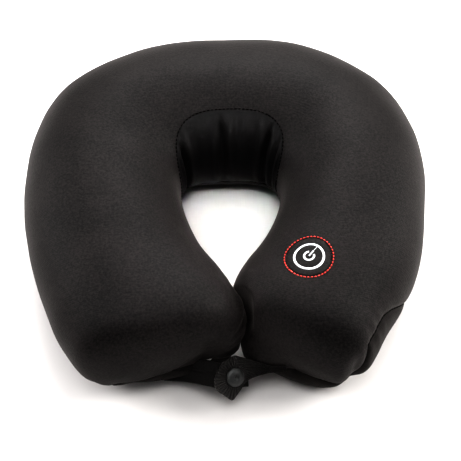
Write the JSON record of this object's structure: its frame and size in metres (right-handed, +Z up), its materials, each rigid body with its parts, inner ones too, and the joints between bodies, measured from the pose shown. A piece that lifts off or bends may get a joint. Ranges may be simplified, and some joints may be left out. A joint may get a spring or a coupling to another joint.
{
  "type": "vibrating travel neck pillow",
  "caption": "U-shaped knit neck pillow with bead filling, vibration unit in one arm, push button patch, underside zip and snap strap.",
  "frame": {"origin": "middle of the footprint on the underside, z = 0 on the surface it lies on", "axes": "+Z up, -Y towards the open end of the U and its snap strap, +X towards the arm with the power button"},
  "size_m": [0.3, 0.3052, 0.1062],
  "materials": {
    "cover_knit": "smooth stretch knit, black, matt",
    "base_knit": "stretch knit, charcoal",
    "neck_knit": "gathered stretch knit, slight sheen",
    "beads": "loose foam microbeads taken as one body",
    "pocket_cloth": "thin woven lining",
    "white_thread": "satin embroidery thread",
    "red_thread": "sewing thread",
    "webbing": "woven webbing",
    "black_plastic": "moulded, semi-gloss",
    "snap_metal": "blackened steel",
    "zip_black": "coil zip on woven tape",
    "zip_metal": "plated zinc",
    "housing_plastic": "moulded grey plastic",
    "dark_plastic": "moulded dark plastic",
    "ivory_plastic": "moulded nylon",
    "board": "green solder mask",
    "steel": "plain steel",
    "weight_metal": "sintered heavy metal",
    "cell_wrap": "printed shrink sleeve, plain",
    "lead_red": "soft wire cover",
    "lead_black": "soft wire cover"
  },
  "bodies": {
    "pillow": {"top_panel": "cover_knit", "bottom_panel": "base_knit", "neck_panel": "neck_knit", "bead_filling": "beads", "module_pocket": "pocket_cloth", "stitch_ring": "red_thread", "left_strap": "webbing", "snap_back_plate": "black_plastic", "snap_stud": "snap_metal", "zip_half_inner": "zip_black", "zip_half_outer": "zip_black", "zip_stop_front": "zip_metal", "zip_stop_back": "zip_metal", "upper_housing": "housing_plastic", "lower_housing": "housing_plastic", "switch_body": "dark_plastic", "circuit_board": "board", "motor_can": "steel", "motor_end_cap": "ivory_plastic", "motor_clamp": "dark_plastic", "battery_1": "cell_wrap", "battery_2": "cell_wrap", "battery_spring_1": "steel", "battery_spring_2": "steel", "contact_bridge": "steel", "contact_plus": "steel", "contact_minus": "steel", "lead_red": "lead_red", "lead_black": "lead_black", "housing_screw_1": "steel", "housing_screw_2": "steel", "housing_screw_3": "steel", "housing_screw_4": "steel"},
    "press_button": {"power_button": "dark_plastic", "power_patch": "cover_knit", "power_symbol": "white_thread", "switch_plunger": "ivory_plastic"},
    "rotor": {"motor_shaft": "steel", "eccentric_weight": "weight_metal"},
    "cell_door": {"battery_door": "housing_plastic"},
    "zip_car": {"zip_slider": "zip_metal"},
    "zip_tab": {"zip_pull": "zip_metal"},
    "strap_flap": {"right_strap": "webbing", "snap_cap": "black_plastic", "snap_socket": "snap_metal"}
  },
  "joints": [
    {"name": "power_button_press", "type": "slide", "parent": "pillow", "child": "press_button", "axis": [0, 0, -1], "range_m": [0, 0.0015], "stiffness_N_per_m": 900, "springref_m": -0.001},
    {"name": "motor_spin", "type": "hinge", "parent": "pillow", "child": "rotor", "pos_m": [0.07713, -0.0324, 0.04676], "axis": [-0.9143, 0.405, 0], "continuous": true},
    {"name": "battery_door_slide", "type": "slide", "parent": "pillow", "child": "cell_door", "axis": [-0.405, -0.9143, 0], "range_m": [0, 0.007]},
    {"name": "zip_slide", "type": "slide", "parent": "pillow", "child": "zip_car", "axis": [0.405, 0.9143, 0], "range_m": [0, 0.05]},
    {"name": "zip_pull_swing", "type": "hinge", "parent": "zip_car", "child": "zip_tab", "pos_m": [0.06213, -0.08996, 0.00055], "axis": [-0.9143, 0.405, 0], "range_deg": [0, 85]},
    {"name": "strap_unsnap", "type": "hinge", "parent": "pillow", "child": "strap_flap", "pos_m": [0.0292, -0.13538, 0.024], "axis": [0, 0.7431, 0.6691], "range_deg": [0, 85]}
  ]
}
